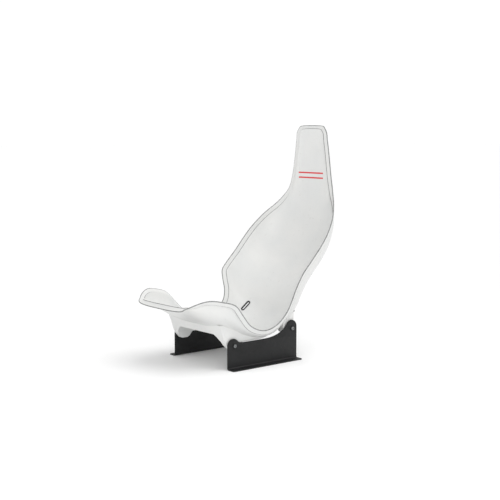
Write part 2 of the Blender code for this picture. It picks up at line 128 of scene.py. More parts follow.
# ---------------------------------------------------------------- shell lines
# The same stations as the CAD shell's: the middle of the seating surface (y, z), the free edge at
# the side (x, y, z), the way the edge band leans, how boxy the section is and how much it flares.
Station = namedtuple("Station", "name floor edge lean square flare")
STATIONS = (
    Station("front edge", (-354, 251), (144, -359, 249), (0.55, -0.80, -0.15), 3.0, 0.06),
    Station("front corner", (-322, 233), (172, -322, 269), (0.62, -0.20, 0.65), 3.2, 0.06),
    Station("wing, front", (-278, 206), (193, -283, 280), (0.63, 0.00, 0.78), 3.4, 0.06),
    Station("wing, crown", (-222, 174), (211, -228, 273), (0.63, 0.00, 0.78), 3.4, 0.06),
    Station("wing, rear", (-172, 152), (218, -172, 254), (0.65, 0.30, 0.65), 3.4, 0.06),
    Station("thigh drop", (-130, 137), (211, -133, 213), (0.65, 0.46, 0.60), 3.4, 0.06),
    Station("hip, front", (-85, 121), (200, -88, 167), (0.45, 0.40, 0.80), 3.4, 0.06),
    Station("hip, lowest", (-20, 106), (196, -20, 141), (0.40, 0.00, 0.90), 3.2, 0.06),
    Station("hip, rear", (45, 102), (195, 40, 153), (0.35, -0.10, 0.90), 3.2, 0.12),
    Station("hip rise", (108, 102), (194, 92, 194), (0.40, -0.70, 0.50), 2.6, 0.22),
    Station("waist", (168, 115), (204, 108, 236), (0.35, -0.93, 0.00), 2.3, 0.26),
    Station("below the elbow", (210, 148), (222, 113, 283), (0.38, -0.90, 0.10), 2.2, 0.24),
    Station("elbow", (234, 200), (234, 121, 317), (0.46, -0.84, 0.30), 2.2, 0.24),
    Station("above the elbow", (256, 246), (232, 143, 346), (0.40, -0.78, 0.45), 2.3, 0.24),
    Station("lower back", (296, 293), (231, 188, 392), (0.37, -0.70, 0.60), 2.2, 0.24),
    Station("middle back", (345, 344), (232, 232, 440), (0.37, -0.70, 0.60), 2.2, 0.24),
    Station("upper back", (386, 405), (226, 275, 488), (0.37, -0.72, 0.57), 2.2, 0.24),
    Station("shoulder", (407, 465), (204, 322, 540), (0.40, -0.70, 0.58), 2.2, 0.24),
    Station("shoulder, inner", (416, 527), (165, 368, 593), (0.62, -0.42, 0.62), 2.3, 0.18),
    Station("neck", (421, 596), (134, 395, 645), (0.95, -0.05, 0.20), 2.6, 0.08),
    Station("head, base", (420, 692), (118, 402, 700), (0.99, 0.08, 0.05), 2.8, 0.06),
    Station("head, middle", (418, 776), (105, 404, 776), (0.99, 0.10, 0.00), 2.8, 0.06),
    Station("head, upper", (415, 845), (94, 403, 848), (0.98, 0.08, 0.15), 2.8, 0.06),
    Station("head, corner", (409, 882), (86, 402, 888), (0.90, 0.00, 0.40), 2.8, 0.06),
    Station("top edge", (404, 895), (72, 403, 905), (0.70, 0.00, 0.70), 2.8, 0.06),
)
FRONT_BAND = (-0.64, -0.77)
TOP_BAND = (0.0, 0.72)


def unit(vectors):
    return vectors / np.linalg.norm(vectors, axis=-1, keepdims=True)


def fair(values, knots, at):
    """The values at the knots, read off a smooth curve through them."""
    slopes = np.gradient(values, knots, axis=0)
    k = np.clip(np.searchsorted(knots, at, side="right") - 1, 0, len(knots) - 2)
    span = (knots[k + 1] - knots[k])[:, None]
    t = (at[:, None] - knots[k][:, None]) / span
    rise = values[k + 1] - values[k]
    return (
        values[k]
        + slopes[k] * span * (t - 2 * t**2 + t**3)
        + rise * (3 * t**2 - 2 * t**3)
        + slopes[k + 1] * span * (t**3 - t**2)
    )


def section(half_width, depth, square, flare):
    """Shares of the width and depth across a rounded U, at equal steps along it."""
    angle = np.linspace(-math.pi / 2, math.pi / 2, 361)
    across = np.sign(angle) * np.abs(np.sin(angle)) ** (2 / square)
    up = 1 - np.abs(np.cos(angle)) ** (2 / square)
    across = across * (1 - flare * (1 - up))
    steps = np.hypot(np.diff(across) * half_width, np.diff(up) * depth)
    along = np.concatenate([[0], np.cumsum(steps)])
    at = np.linspace(0, along[-1], SHELL_COLUMNS)
    return np.interp(at, along, across), np.interp(at, along, up)


def shell_lines():
    """The seating surface as a grid of points, and the free edge beyond each border point."""
    floor = np.array([(0, *station.floor) for station in STATIONS], float)
    edge = np.array([station.edge for station in STATIONS], float)
    lean = unit(np.array([station.lean for station in STATIONS]))
    shape = np.array([(station.square, station.flare) for station in STATIONS])
    lengths = sum(np.linalg.norm(np.diff(line, axis=0), axis=1) for line in (floor, edge))
    knots = np.concatenate([[0], np.cumsum(lengths)])
    at = np.linspace(0, knots[-1], SHELL_ROWS)
    floor = fair(floor, knots, at)
    edge = fair(edge, knots, at)
    rim = edge - RIM_BAND * unit(fair(lean, knots, at))
    shape = fair(shape, knots, at)

    grid = np.empty((SHELL_ROWS, SHELL_COLUMNS, 3))
    shares = []
    for row in range(SHELL_ROWS):
        rise = rim[row, 1:] - floor[row, 1:]
        across, up = section(rim[row, 0], np.hypot(*rise), *shape[row])
        grid[row, :, 0] = rim[row, 0] * across
        grid[row, :, 1:] = floor[row, 1:] + up[:, None] * rise
        shares.append((across, up))

    def cross_edge(row, droop):
        """The free edge along the front or the top, from left to right."""
        across, up = shares[row]
        middle = floor[row, 1:] + RIM_BAND * np.array(droop)
        line = np.empty((SHELL_COLUMNS, 3))
        line[:, 0] = edge[row, 0] * across
        line[:, 1:] = middle + up[:, None] * (edge[row, 1:] - middle)
        return line

    mirror = np.array([-1, 1, 1])
    front, top = cross_edge(0, FRONT_BAND), cross_edge(SHELL_ROWS - 1, TOP_BAND)
    free = np.concatenate([front, edge[1:-1], top[::-1], (edge[1:-1] * mirror)[::-1]])
    to_frame = np.array([0, ORIGIN_Y, 0])
    return grid + to_frame, free + to_frame


GRID, FREE_EDGE = shell_lines()
INDEX = np.arange(SHELL_ROWS * SHELL_COLUMNS).reshape(SHELL_ROWS, SHELL_COLUMNS)
BORDER = np.concatenate([INDEX[0], INDEX[1:-1, -1], INDEX[-1][::-1], INDEX[1:-1, 0][::-1]])


def border_ways():
    """At each point of the border: the way along the edge band, and the way out of it."""
    rim = GRID.reshape(-1, 3)[BORDER]
    middle = (rim + FREE_EDGE) / 2
    tangent = unit(np.roll(middle, -1, axis=0) - np.roll(middle, 1, axis=0))
    band = unit(FREE_EDGE - rim)
    return band, unit(np.cross(tangent, band))


def surface_ways():
    """The way out of the shell at each point of the grid."""
    along, across = np.gradient(GRID, axis=(0, 1))
    out = unit(np.cross(along, across)).reshape(-1, 3)
    out[BORDER] = unit(out[BORDER] + border_ways()[1])
    return out


OUT = surface_ways()


# ---------------------------------------------------------------- making pieces
def placed(name, data):
    """A new object at the origin of the scene."""
    item = bpy.data.objects.new(name, data)
    bpy.context.scene.collection.objects.link(item)
    return item


def face_outwards(mesh):
    work = bmesh.new()
    work.from_mesh(mesh)
    bmesh.ops.recalc_face_normals(work, faces=work.faces)
    work.to_mesh(mesh)
    work.free()


def shade(mesh, crisp=CRISP_ANGLE):
    mesh.shade_smooth()
    mesh.set_sharp_from_angle(angle=math.radians(crisp))


def piece(name, points, faces):
    """A closed mesh object, from points in millimetres."""
    mesh = bpy.data.meshes.new(name)
    corners = [[int(i) for i in face] for face in faces]
    mesh.from_pydata((np.asarray(points, float) * MM).tolist(), [], corners)
    face_outwards(mesh)
    shade(mesh)
    return placed(name, mesh)


def modify(item, kind, **settings):
    modifier = item.modifiers.new(kind.title(), kind)
    for key, value in settings.items():
        setattr(modifier, key, value)


def settle(item):
    """Turns the piece with its modifiers into a plain mesh."""
    graph = bpy.context.evaluated_depsgraph_get()
    mesh = bpy.data.meshes.new_from_object(item.evaluated_get(graph))
    item.modifiers.clear()
    item.data = mesh
    shade(mesh)
    return item


def combine(item, operation, other):
    """Cuts, joins or keeps what is shared with another piece, which is then used up."""
    modify(item, "BOOLEAN", operation=operation, solver="EXACT", object=other)
    settle(item)
    bpy.data.objects.remove(other)


def round_edges(item, width, segments, turn):
    """Rounds every edge that turns by more than that many degrees."""
    modify(
        item,
        "BEVEL",
        width=width * MM,
        segments=segments,
        limit_method="ANGLE",
        angle_limit=math.radians(turn),
    )
    return settle(item)


def stand_for(item, node, material):
    """Dresses a finished piece and puts it in the place of its CAD node."""
    item.data.materials.clear()
    item.data.materials.append(material)
    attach(item, "root")
    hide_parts(node)


def prism(name, outline, place, low, high):
    """A flat outline pushed along a third direction. `place` turns (u, v, w) into (x, y, z)."""
    count = len(outline)
    points = [place(u, v, w) for w in (low, high) for u, v in outline]
    faces = [tuple(range(count)), tuple(range(count, 2 * count))]
    for i in range(count):
        j = (i + 1) % count
        faces.append((i, j, j + count, i + count))
    return piece(name, points, faces)


def sideways(side):
    """Outlines drawn in (y, z), pushed away from the middle on that side."""
    return lambda u, v, w: (side * w, u, v)


def lengthways(side):
    """Outlines drawn in (x, z) on that side, pushed from front to rear."""
    return lambda u, v, w: (side * u, w, v)


def upwards(side):
    """Outlines drawn in (x, y) on that side, pushed up."""
    return lambda u, v, w: (side * u, v, w)


def arc(centre, radius, start, stop, count):
    angles = np.radians(np.linspace(start, stop, count))
    return [(centre[0] + radius * math.cos(a), centre[1] + radius * math.sin(a)) for a in angles]


def circle(centre, radius, count=64):
    return arc(centre, radius, 0, 360, count + 1)[:-1]


def stadium(length, width, count=18):
    """A slot outline about the origin, its length along v."""
    half = (length - width) / 2
    return arc((0, half), width / 2, 0, 180, count) + arc((0, -half), width / 2, 180, 360, count)


def lathe(name, profile, centre, side):
    """A profile of (distance from the middle, radius) turned about the bolt's axis.

    The attribute `turned` keeps (distance, radius, angle), for marks that run round the axis.
    """
    points = []
    turned = []
    faces = []
    starts = []
    on_axis = [radius < 1e-9 for _, radius in profile]
    around = np.arange(LATHE_STEPS) * 2 * math.pi / LATHE_STEPS
    for (x, radius), pole in zip(profile, on_axis):
        starts.append(len(points))
        for a in [0.0] if pole else around:
            y = centre[0] + radius * math.cos(a)
            z = centre[1] + radius * math.sin(a)
            points.append((side * x, y, z))
            turned.append((x, radius, a))
    pairs = list(zip(range(len(profile)), range(1, len(profile))))
    if not on_axis[0]:
        pairs.append((len(profile) - 1, 0))
    for a, b in pairs:
        for i in range(LATHE_STEPS):
            j = (i + 1) % LATHE_STEPS
            if on_axis[a]:
                faces.append((starts[a], starts[b] + i, starts[b] + j))
            elif on_axis[b]:
                faces.append((starts[a] + i, starts[a] + j, starts[b]))
            else:
                faces.append((starts[a] + i, starts[a] + j, starts[b] + j, starts[b] + i))
    item = piece(name, points, faces)
    marks = item.data.attributes.new("turned", "FLOAT_VECTOR", "POINT")
    marks.data.foreach_set("vector", np.array(turned, float).ravel())
    return item


# ---------------------------------------------------------------- nodes and colours
def linear(code):
    """An sRGB hex colour as linear RGBA."""
    values = [int(code[i : i + 2], 16) / 255 for i in (1, 3, 5)]
    return (*[v / 12.92 if v <= 0.04045 else ((v + 0.055) / 1.055) ** 2.4 for v in values], 1)


def add(tree, kind, inputs=None, **settings):
    """Adds a node, sets its options, fills or links its inputs, and gives its outputs as a list."""
    node = tree.nodes.new(kind)
    for key, value in settings.items():
        setattr(node, key, value)
    for key, value in (inputs or {}).items():
        if isinstance(key, int):
            socket = node.inputs[key]
        else:
            socket = next(s for s in node.inputs if s.enabled and s.name == key)
        if isinstance(value, bpy.types.NodeSocket):
            tree.links.new(value, socket)
        else:
            socket.default_value = value
    return [socket for socket in node.outputs if socket.enabled]


def finish_named(name, **settings):
    """A new finish: its tree, its shader and the piece's own coordinates, in metres."""
    made = bpy.data.materials.new(name)
    made.use_nodes = True
    tree = made.node_tree
    shader = tree.nodes["Principled BSDF"]
    for key, value in settings.items():
        shader.inputs[key.replace("_", " ")].default_value = value
    place = add(tree, "ShaderNodeTexCoord")[3]
    return made, tree, shader.inputs, place


def patch(tree, place, size, low, high, detail=3.0, start=0.3, stop=0.7):
    """A value that drifts from low to high in patches of about `size` millimetres."""
    inputs = {"Vector": place, "Scale": 1 / (size * MM), "Detail": detail}
    spots = add(tree, "ShaderNodeTexNoise", inputs)[0]
    inputs = {"Value": spots, "From Min": start, "From Max": stop, "To Min": low, "To Max": high}
    return add(tree, "ShaderNodeMapRange", inputs)[0]


# ---------------------------------------------------------------- finishes
THREAD_SPACING = 4.0  # of the woven cloth in the laminate
WAVE_BAND = 2 * math.pi / 20  # from one of Wave's bands to the next, at a scale of 1
RING_SPACING = 0.6  # of the tool's marks on turned metal
MARK_MIDDLE = -14.0
MARK_HALF_WIDTH = 70.0
MARK_BARS = (694.5, 714.5)  # heights of the bars' middles
MARK_HALF_THICKNESS = 3.0


def white_gelcoat():
    """Polyester gelcoat over glass fibre, laid up by hand: clean white with a soft gloss, slow
    ripples from the mould and the faint print of the woven cloth behind it."""
    made, tree, shader, place = finish_named(
        "white_gelcoat_on_glass_fibre", IOR=1.52, Coat_Weight=0.3, Coat_Roughness=0.2
    )
    drift = patch(tree, place, 110, 0, 1)
    inputs = {"Factor": drift, "A": linear("#E4E4E2"), "B": linear("#DFE0DF")}
    colour = add(tree, "ShaderNodeMix", inputs, data_type="RGBA")[0]
    # Handling leaves a faint grey bloom in small spots.
    bloom = patch(tree, place, 14, 0, 0.5, detail=5, start=0.62, stop=0.8)
    inputs = {"Factor": bloom, "A": colour, "B": linear("#CFCFCC")}
    colour = add(tree, "ShaderNodeMix", inputs, data_type="RGBA")[0]
    colour = headrest_mark(tree, place, colour)
    # The trimmed edge shows the grey laminate under the white. The same grey in the corners of the
    # step is painted shade in the crease.
    bare = add(tree, "ShaderNodeAttribute", attribute_name="bare", attribute_type="GEOMETRY")[2]
    inputs = {0: bare, 1: patch(tree, place, 9, 0.7, 1.0)}
    bare = add(tree, "ShaderNodeMath", inputs, operation="MULTIPLY")[0]
    inputs = {"Factor": bare, "A": colour, "B": linear("#686A69")}
    colour = add(tree, "ShaderNodeMix", inputs, data_type="RGBA")[0]
    tree.links.new(colour, shader["Base Color"])
    tree.links.new(patch(tree, place, 28, 0.40, 0.50, detail=4), shader["Roughness"])
    inputs = {"Height": patch(tree, place, 45, 0, 1, detail=1), "Distance": 0.2 * MM}
    ripple = add(tree, "ShaderNodeBump", inputs)[0]
    height = patch(tree, place, 2.4, 0, 1, detail=2)
    inputs = {"Height": height, "Distance": 0.05 * MM, "Normal": ripple}
    peel = add(tree, "ShaderNodeBump", inputs)[0]
    # Woven roving has a thread every 4 mm, and its print shows at that size.
    turned = add(tree, "ShaderNodeMapping", {"Vector": place, "Rotation": (0.4, 0.3, 0.6)})[0]
    inputs = {"Vector": turned, "Scale": WAVE_BAND / (THREAD_SPACING * MM), "Distortion": 2.0}
    threads = add(tree, "ShaderNodeTexWave", inputs)[1]
    inputs = {"Height": threads, "Distance": 0.05 * MM, "Normal": peel}
    tree.links.new(add(tree, "ShaderNodeBump", inputs)[0], shader["Normal"])
    return made


def headrest_mark(tree, place, colour):
    """Two plain bars of red cut vinyl across the head rest, on the side that faces the driver."""
    x, _, z = add(tree, "ShaderNodeSeparateXYZ", {"Vector": place})
    normal = add(tree, "ShaderNodeNewGeometry")[1]
    facing = add(tree, "ShaderNodeSeparateXYZ", {"Vector": normal})[1]
    inputs = {0: x, 1: MARK_MIDDLE * MM, 2: MARK_HALF_WIDTH * MM}
    width = add(tree, "ShaderNodeMath", inputs, operation="COMPARE")[0]
    forward = add(tree, "ShaderNodeMath", {0: facing, 1: -0.3}, operation="LESS_THAN")[0]
    area = add(tree, "ShaderNodeMath", {0: width, 1: forward}, operation="MULTIPLY")[0]
    bars = []
    for middle in MARK_BARS:
        inputs = {0: z, 1: middle * MM, 2: MARK_HALF_THICKNESS * MM}
        bars.append(add(tree, "ShaderNodeMath", inputs, operation="COMPARE")[0])
    both = add(tree, "ShaderNodeMath", dict(enumerate(bars)), operation="MAXIMUM")[0]
    share = add(tree, "ShaderNodeMath", {0: both, 1: area}, operation="MULTIPLY")[0]
    inputs = {"Factor": share, "A": colour, "B": linear("#D9262C")}
    return add(tree, "ShaderNodeMix", inputs, data_type="RGBA")[0]


def black_powder_coat():
    """Polyester powder baked on steel: near black, satin, with an even fine grain and rubbed
    high spots."""
    made, tree, shader, place = finish_named("black_powder_coat_on_steel", IOR=1.42)
    drift = patch(tree, place, 55, 0, 1)
    inputs = {"Factor": drift, "A": linear("#101011"), "B": linear("#18191A")}
    colour = add(tree, "ShaderNodeMix", inputs, data_type="RGBA")[0]
    rubbed = patch(tree, place, 8, 0, 0.8, detail=6, start=0.64, stop=0.76)
    inputs = {"Factor": rubbed, "A": colour, "B": linear("#2C2C2C")}
    colour = add(tree, "ShaderNodeMix", inputs, data_type="RGBA")[0]
    tree.links.new(colour, shader["Base Color"])
    tree.links.new(patch(tree, place, 13, 0.44, 0.58, detail=4), shader["Roughness"])
    # The real grain is about 0.3 mm. It is drawn at 1 mm so that it shows.
    inputs = {"Height": patch(tree, place, 1.0, 0, 1, detail=2), "Distance": 0.06 * MM}
    grain = add(tree, "ShaderNodeBump", inputs)[0]
    height = patch(tree, place, 7, 0, 1, detail=2)
    inputs = {"Height": height, "Distance": 0.08 * MM, "Normal": grain}
    tree.links.new(add(tree, "ShaderNodeBump", inputs)[0], shader["Normal"])
    return made


def turned_metal(name, light, dark, roughness, stain):
    """Metal cut on a lathe: fine rings round the axis catch the light.

    The tool leaves a ring every 0.15 mm. They are drawn every 0.6 mm so that they show.
    """
    made, tree, shader, place = finish_named(name, Metallic=1.0, Anisotropic=0.3)
    marks = add(tree, "ShaderNodeAttribute", attribute_name="turned", attribute_type="GEOMETRY")[1]
    distance, radius, _ = add(tree, "ShaderNodeSeparateXYZ", {"Vector": marks})
    path = add(tree, "ShaderNodeMath", {0: distance, 1: radius}, operation="ADD")[0]
    inputs = {0: path, 1: patch(tree, place, 3, -0.2, 0.2)}
    uneven = add(tree, "ShaderNodeMath", inputs, operation="ADD")[0]
    inputs = {0: uneven, 1: 2 * math.pi / RING_SPACING}
    turns = add(tree, "ShaderNodeMath", inputs, operation="MULTIPLY")[0]
    rings = add(tree, "ShaderNodeMath", {0: turns}, operation="SINE")[0]
    inputs = {"Factor": patch(tree, place, 4, 0, 1), "A": linear(light), "B": linear(dark)}
    colour = add(tree, "ShaderNodeMix", inputs, data_type="RGBA")[0]
    spots = patch(tree, place, 6, 0, 0.6, detail=4, start=0.5, stop=0.75)
    inputs = {"Factor": spots, "A": colour, "B": linear(stain)}
    colour = add(tree, "ShaderNodeMix", inputs, data_type="RGBA")[0]
    tree.links.new(colour, shader["Base Color"])
    smooth, rough = roughness - 0.05, roughness + 0.06
    inputs = {"Value": rings, "From Min": -1, "From Max": 1, "To Min": smooth, "To Max": rough}
    tree.links.new(add(tree, "ShaderNodeMapRange", inputs)[0], shader["Roughness"])
    ridges = add(tree, "ShaderNodeBump", {"Height": rings, "Distance": 0.012 * MM})[0]
    tree.links.new(ridges, shader["Normal"])
    return made


def moulded_black_plastic():
    """Polyamide moulded in a spark-eroded tool: dull black with a fine matt texture."""
    made, tree, shader, place = finish_named("moulded_black_polyamide", IOR=1.53)
    drift = patch(tree, place, 12, 0, 1)
    inputs = {"Factor": drift, "A": linear("#1C1C1D"), "B": linear("#272728")}
    colour = add(tree, "ShaderNodeMix", inputs, data_type="RGBA")[0]
    tree.links.new(colour, shader["Base Color"])
    tree.links.new(patch(tree, place, 5, 0.5, 0.62), shader["Roughness"])
    # The spark-eroded grain is about 0.2 mm. It is drawn at 0.8 mm so that it shows.
    inputs = {"Height": patch(tree, place, 0.8, 0, 1), "Distance": 0.05 * MM}
    tree.links.new(add(tree, "ShaderNodeBump", inputs)[0], shader["Normal"])
    return made


# ---------------------------------------------------------------- shell
def grid_quads(first=0):
    for row in range(SHELL_ROWS - 1):
        for column in range(SHELL_COLUMNS - 1):
            a = first + row * SHELL_COLUMNS + column
            yield (a, a + SHELL_COLUMNS, a + SHELL_COLUMNS + 1, a + 1)


def rim_profile():
    """The edge band's section, from the seating side over the cut edge to the outside.

    Each point is (share of the band, millimetres along it, millimetres out, how grey it is
    drawn: bare laminate at the cut edge, and painted shade in the corners of the step).
    """
    step = RIM_STEP
    outside = RIM_STEP + WALL
    half = WALL / 2
    inner = [
        (0, 0.4, 0.15, 0),
        # The corner of the step is drawn grey: painted shade in the crease.
        (0, 0.9, step / 2, 1),
        (0, 1.4, step - 0.2, 1),
        (0, 1.9, step, 1),
        (0, 2.6, step, 0),
        (0.5, 0, step, 0),
        (1, -3.4, step, 0),
        (1, -2.9, step, 1),
    ]
    tip = [
        (1, half * (math.cos(a) - 1), step + half * (1 + math.sin(a)), 1)
        for a in np.radians(np.linspace(-90, 90, 9))
    ]
    outer = [
        (1, -2.9, outside, 1),
        (1, -3.4, outside, 0),
        (0.5, 0, outside, 0),
        (0, 2.7, outside, 0),
        # The corner of the step on the outside is drawn grey: painted shade in the crease.
        (0, 2.0, outside, 1),
        (0, 1.4, outside - 0.3, 1),
        (0, 0.8, WALL + step / 2, 1),
        (0, 0.3, WALL + 0.2, 0),
    ]
    return inner + tip + outer


def seat_shell():
    """The moulded shell: its two skins, and the edge band between their borders.

    An attribute marks where the gelcoat is cut through to the grey laminate, and the corners of the
    step, where the same grey is painted shade in the crease.
    """
    skin = GRID.reshape(-1, 3)
    rim = skin[BORDER]
    band, band_out = border_ways()
    width = np.linalg.norm(FREE_EDGE - rim, axis=1)[:, None]
    points = [skin, skin + WALL * OUT]
    bare = [np.zeros(2 * len(skin))]
    rings = [BORDER]
    count = 2 * len(skin)
    for share, along, out, laminate_and_crease_grey in rim_profile():
        points.append(rim + band * (share * width + along) + band_out * out)
        bare.append(np.full(len(BORDER), laminate_and_crease_grey, float))
        rings.append(count + np.arange(len(BORDER)))
        count += len(BORDER)
    rings.append(BORDER + len(skin))
    faces = list(grid_quads())
    faces += [tuple(reversed(face)) for face in grid_quads(len(skin))]
    for inside, outside in zip(rings, rings[1:]):
        faces += zip(inside, np.roll(inside, -1), np.roll(outside, -1), outside)
    shell = piece("seat_shell_moulding", np.concatenate(points), faces)
    marks = shell.data.attributes.new("bare", "FLOAT", "POINT")
    marks.data.foreach_set("value", np.concatenate(bare))
    return shell


def bucket_inside(outer):
    """The space inside the bucket, grown by `outer` and closed straight across from rim to rim."""
    rows, columns = SHELL_ROWS, SHELL_COLUMNS
    faces = list(grid_quads())
    for row in range(rows - 1):
        left, right = row * columns, row * columns + columns - 1
        faces.append((left, right, right + columns, left + columns))
    faces += [tuple(range(columns)), tuple(range((rows - 1) * columns, rows * columns))]
    return piece("bucket_inside", GRID.reshape(-1, 3) + outer * OUT, faces)


def front_foot_outline(hole_y, hole_z):
    """A front foot in (y, z) round its bolt, with the low runner behind it."""
    bottom = hole_z - 14
    return [
        (hole_y - 66, 172),
        (hole_y - 55, 147),
        (hole_y - 49, 127),
        (hole_y - 43, 110),
        (hole_y - 33, 93),
        (hole_y - 18, bottom + 2),
        (hole_y - 12, bottom),
        (hole_y + 12, bottom),
        (hole_y + 22, bottom + 6),
        (hole_y + 33, 98),
        (hole_y + 130, 98.6),
        (hole_y + 165, 104),
        (hole_y + 165, 108),
        (hole_y + 110, 110),
        (hole_y + 60, 122),
        (hole_y + 42, 130),
        (hole_y - 10, 172),
    ]


def arch_outline():
    """The arch between the front feet, in (x, z)."""
    half = [(143, 60), (141, 80), (135, 106), (118, 122), (104, 130)]
    return [(-x, z) for x, z in half] + half[::-1]


def rear_foot_outline(hole_y, hole_z):
    """A rear foot in (y, z) round its bolt."""
    bottom = hole_z - 19
    return [
        (hole_y - 40, bottom + 10),
        (hole_y - 30, bottom + 2),
        (hole_y - 18, bottom),
        (hole_y + 6, bottom),
        (hole_y + 14, bottom + 4),
        (hole_y + 17, bottom + 12),
        (hole_y + 17, hole_z + 72),
        (hole_y - 34, hole_z + 72),
    ]


def slot_frame(side):
    """The belt slot's middle on the wall and its three directions: across, along and outwards."""
    low, high = cad("belt_slot_edging_left")
    skin = GRID.reshape(-1, 3)
    near = np.argmin(np.linalg.norm(skin + WALL / 2 * OUT - (low + high) / 2, axis=1))
    mirror = np.array([side, 1, 1])
    out = OUT[near] * mirror
    along = np.array(SLOT_WAY)
    along = unit(along - out * (along @ out))
    return skin[near] * mirror, np.cross(along, out), along, out


def slot_prism(name, side, grow):
    """A cutter through the wall, in the slot's outline grown by `grow`."""
    middle, across, along, out = slot_frame(side)
    outline = stadium(SLOT_LENGTH + 2 * grow, SLOT_WIDTH + 2 * grow)

    def through_wall(u, v, w):
        return middle + u * across + v * along + w * out

    return prism(name, outline, through_wall, -THROUGH_WALL, THROUGH_WALL)


def add_feet(shell):
    """Joins the moulded feet to the shell: a pair on a cross rib in front, and two behind."""
    (_, front_y, front_z), (_, rear_y, rear_z) = MOUNTS
    outline = front_foot_outline(front_y, front_z)
    feet = [prism("front_feet", outline, sideways(1), -FOOT_FACE_X, FOOT_FACE_X)]
    arch = prism("arch", arch_outline(), lengthways(1), front_y - 100, front_y + 200)
    combine(feet[0], "DIFFERENCE", arch)
    outline = rear_foot_outline(rear_y, rear_z)
    for word, side in SIDES:
        place = sideways(side)
        feet.append(prism(f"rear_foot_{word}", outline, place, REAR_FOOT_INNER_X, FOOT_FACE_X))
    for foot in feet:
        round_edges(foot, FOOT_ROUNDING, segments=4, turn=24)
        combine(foot, "DIFFERENCE", bucket_inside(WALL / 2))
    for foot, (_, side) in zip(feet[1:], SIDES):
        combine(foot, "DIFFERENCE", slot_prism("slot_clear", side, SLOT_LIP + 1))
    for foot in feet:
        combine(shell, "UNION", foot)


def cut_shell(shell):
    """Cuts the belt slots and the pockets that hold the threaded inserts."""
    mouth = FOOT_FACE_X + 5
    step = INSERT_HIGH[0] - COLLAR_THICKNESS - FIT_GAP
    end = INSERT_LOW[0] - FIT_GAP
    collar = COLLAR_RADIUS + FIT_GAP
    body = BOLT_RADIUS + INSERT_WALL + FIT_GAP
    profile = [(mouth, 0), (mouth, collar), (step, collar), (step, body), (end, body), (end, 0)]
    for _, side in SIDES:
        combine(shell, "DIFFERENCE", slot_prism("slot_opening", side, 0))
        for _, y, z in MOUNTS:
            combine(shell, "DIFFERENCE", lathe("pocket", profile, (y, z), side))


# ---------------------------------------------------------------- brackets
def curve_between(start, start_way, end, end_way, count=15):
    """Points of a smooth curve strictly between two points, leaving and arriving along two ways."""
    start, end = np.array(start), np.array(end)
    reach = np.linalg.norm(end - start)
    t = np.linspace(0, 1, count + 2)[1:-1, None]
    points = (
        start * (1 - 3 * t**2 + 2 * t**3)
        + np.array(start_way) * reach * (t - 2 * t**2 + t**3)
        + end * (3 * t**2 - 2 * t**3)
        + np.array(end_way) * reach * (t**3 - t**2)
    )
    return [tuple(point) for point in points]


def bracket_outline():
    """The upright's outline in (y, z), with an ear round each seat bolt."""
    below = -10
    front = (FRONT_END + EAR_RADIUS, MOUNTS[0][2] + 1)
    rear = (REAR_END - EAR_RADIUS, BRACKET_TOP - EAR_RADIUS)
    front_arc = arc(front, EAR_RADIUS, 180, FRONT_EAR_END, 33)
    rear_arc = arc(rear, EAR_RADIUS, REAR_EAR_START, 0, 33)
    web_start = (front[0] + 2.4 * EAR_RADIUS, WEB_HEIGHT)
    web_end = (rear[0] - 5.2 * EAR_RADIUS, WEB_HEIGHT)
    front_way, rear_way = (
        (math.sin(math.radians(angle)), -math.cos(math.radians(angle)))
        for angle in (FRONT_EAR_END, REAR_EAR_START)
    )
    return (
        [(FRONT_END, below)]
        + front_arc
        + curve_between(front_arc[-1], front_way, web_start, (1, 0))
        + [web_start, web_end]
        + curve_between(web_end, (1, 0), rear_arc[0], rear_way, 25)
        + rear_arc
        + [(REAR_END, below)]
    )


def flange_plan():
    """The base flange's outline in (x, y), its two free corners rounded."""
    inside = BRACKET_INNER_X - 20
    corner_x = FLANGE_EDGE_X - FLANGE_CORNER
    return (
        [(inside, FRONT_END)]
        + arc((corner_x, FRONT_END + FLANGE_CORNER), FLANGE_CORNER, -90, 0, 12)
        + arc((corner_x, REAR_END - FLANGE_CORNER), FLANGE_CORNER, 0, 90, 12)
        + [(inside, REAR_END)]
    )


def side_bracket(word, side):
    """Steel sheet folded outwards at its base, profiled and drilled, with every edge broken."""
    inner, outer, spare = BRACKET_INNER_X, BRACKET_INNER_X + SHEET, 5
    bend = (outer + BEND_RADIUS, SHEET + BEND_RADIUS)
    folded = (
        [(FLANGE_EDGE_X, 0), (FLANGE_EDGE_X, SHEET)]
        + arc(bend, BEND_RADIUS, 270, 180, 13)
        + [(outer, BRACKET_TOP + spare), (inner, BRACKET_TOP + spare)]
        + arc(bend, BEND_RADIUS + SHEET, 180, 270, 17)
    )
    name = f"side_bracket_{word}_steel"
    bracket = prism(name, folded, lengthways(side), FRONT_END - spare, REAR_END + spare)
    upright = prism("outline", bracket_outline(), sideways(side), *ACROSS_BRACKET)
    combine(bracket, "INTERSECT", upright)
    plan = prism("plan", flange_plan(), upwards(side), -20, BRACKET_TOP + 20)
    combine(bracket, "INTERSECT", plan)
    for _, y, z in MOUNTS:
        outline = circle((y, z), BOLT_RADIUS + FIT_GAP)
        hole = prism("bolt_hole", outline, sideways(side), *ACROSS_BRACKET)
        combine(bracket, "DIFFERENCE", hole)
    middle_x = (outer + FLANGE_EDGE_X) / 2 + 2
    for y in (FRONT_END + BASE_HOLE_INSET, REAR_END - BASE_HOLE_INSET):
        outline = circle((middle_x, y), BASE_HOLE_RADIUS)
        combine(bracket, "DIFFERENCE", prism("base_hole", outline, upwards(side), -10, SHEET + 10))
    return round_edges(bracket, EDGE_BREAK, segments=3, turn=40)


# ---------------------------------------------------------------- fasteners
def ring_profile(low, high, hole, radius, chamfer):
    """A ring between two distances from the middle, its edges broken."""
    small = chamfer / 2
    return [
        (low, hole + small),
        (low, radius - chamfer),
        (low + small, radius - small / 2),
        (low + chamfer, radius),
        (high - chamfer, radius),
        (high - small, radius - small / 2),
        (high, radius - chamfer),
        (high, hole + small),
        (high - small, hole),
        (low + small, hole),
    ]


